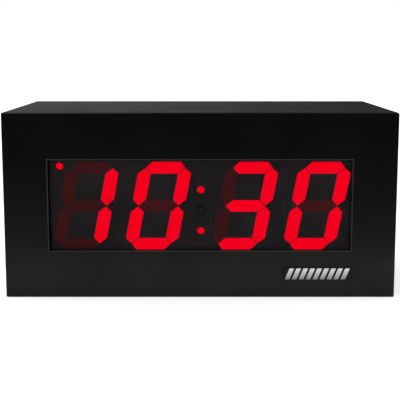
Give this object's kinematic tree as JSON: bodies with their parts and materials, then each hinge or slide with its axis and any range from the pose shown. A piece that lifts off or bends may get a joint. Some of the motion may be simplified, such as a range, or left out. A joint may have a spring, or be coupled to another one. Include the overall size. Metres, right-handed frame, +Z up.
{
  "type": "gym round timer",
  "caption": "Slim black steel box with a smoked window over a red four-figure seven-segment display, keyed for a wall, with push buttons and a battery drawer in the rear cover.",
  "frame": {"origin": "middle of the footprint, on the surface the case stands on", "axes": "+X to the viewer's right along the width, the display faces -Y, +Z up"},
  "size_m": [0.278, 0.101, 0.133],
  "materials": {
    "case_black": "fine satin powder coat",
    "cover_black": "satin powder coat",
    "trim_grey": "satin moulded",
    "lens_smoke": "smoked acrylic, polished",
    "gasket_foam": "closed-cell foam tape",
    "badge_silver": "brushed",
    "badge_ink": "gloss enamel",
    "digit_black": "matt moulded",
    "segment_lit": "lit epoxy",
    "segment_dark": "tinted epoxy, unlit",
    "sensor_black": "infrared-pass resin",
    "board_green": "solder mask",
    "chip_black": "moulded epoxy",
    "header_black": "moulded nylon",
    "ribbon_grey": "PVC ribbon",
    "tin_plate": "tinned",
    "zinc_steel": "zinc plated",
    "copper_steel": "copper-flashed weld stud",
    "brass": "turned",
    "nylon_white": "moulded nylon",
    "can_blue": "PVC sleeve",
    "crystal_can": "drawn can",
    "heat_sink": "extruded",
    "terminal_green": "moulded nylon",
    "sounder_black": "moulded",
    "grommet_rubber": "moulded rubber",
    "button_grey": "satin moulded",
    "tray_black": "moulded ABS",
    "cell_steel": "nickel plated"
  },
  "bodies": {
    "timer": {"front_case": "case_black", "cover_brackets": "zinc_steel", "clinch_nuts": "zinc_steel", "board_studs": "copper_steel", "window_trim": "trim_grey", "lens": "lens_smoke", "lens_gasket": "gasket_foam", "badge_plate": "badge_ink", "badge_bars": "badge_silver", "digit_pins": "tin_plate", "colon_holder": "digit_black", "colon_lamps": "segment_lit", "indicator_lamp": "segment_lit", "infrared_receiver": "sensor_black", "display_board": "board_green", "board_spacers": "nylon_white", "display_nuts": "zinc_steel", "segment_drivers": "chip_black", "display_header": "header_black", "ribbon_cable": "ribbon_grey", "main_header": "header_black", "rear_cover": "cover_black", "cover_screws": "zinc_steel", "cable_grommet": "grommet_rubber", "standoffs": "brass", "standoff_screws": "zinc_steel", "main_board": "board_green", "main_board_screws": "zinc_steel", "controller_chip": "chip_black", "clock_crystal": "crystal_can", "capacitors": "can_blue", "voltage_regulator": "chip_black", "heat_sink": "heat_sink", "terminal_block": "terminal_green", "terminal_screws": "zinc_steel", "sounder": "sounder_black", "sounder_screws": "zinc_steel", "sounder_nuts": "zinc_steel", "button_switches": "chip_black", "battery_sleeve": "tray_black", "battery_pins": "tin_plate", "digit_1_housing": "digit_black", "digit_1_lit_segments": "segment_lit", "digit_1_dark_segments": "segment_dark", "digit_2_housing": "digit_black", "digit_2_lit_segments": "segment_lit", "digit_2_dark_segments": "segment_dark", "digit_3_housing": "digit_black", "digit_3_lit_segments": "segment_lit", "digit_3_dark_segments": "segment_dark", "digit_4_housing": "digit_black", "digit_4_lit_segments": "segment_lit", "digit_4_dark_segments": "segment_dark"},
    "button_mode": {"button_mode": "button_grey"},
    "button_up": {"button_up": "button_grey"},
    "button_down": {"button_down": "button_grey"},
    "button_start": {"button_start": "button_grey"},
    "drawer": {"battery_tray": "tray_black", "coin_cell": "cell_steel"}
  },
  "joints": [
    {"name": "button_mode_press", "type": "slide", "parent": "timer", "child": "button_mode", "axis": [0, -1, 0], "range_m": [0, 0.0012], "stiffness_N_per_m": 900, "springref_m": -0.0005},
    {"name": "button_up_press", "type": "slide", "parent": "timer", "child": "button_up", "axis": [0, -1, 0], "range_m": [0, 0.0012], "stiffness_N_per_m": 900, "springref_m": -0.0005},
    {"name": "button_down_press", "type": "slide", "parent": "timer", "child": "button_down", "axis": [0, -1, 0], "range_m": [0, 0.0012], "stiffness_N_per_m": 900, "springref_m": -0.0005},
    {"name": "button_start_press", "type": "slide", "parent": "timer", "child": "button_start", "axis": [0, -1, 0], "range_m": [0, 0.0012], "stiffness_N_per_m": 900, "springref_m": -0.0005},
    {"name": "drawer_pull", "type": "slide", "parent": "timer", "child": "drawer", "axis": [0, 1, 0], "range_m": [0, 0.0235]}
  ]
}
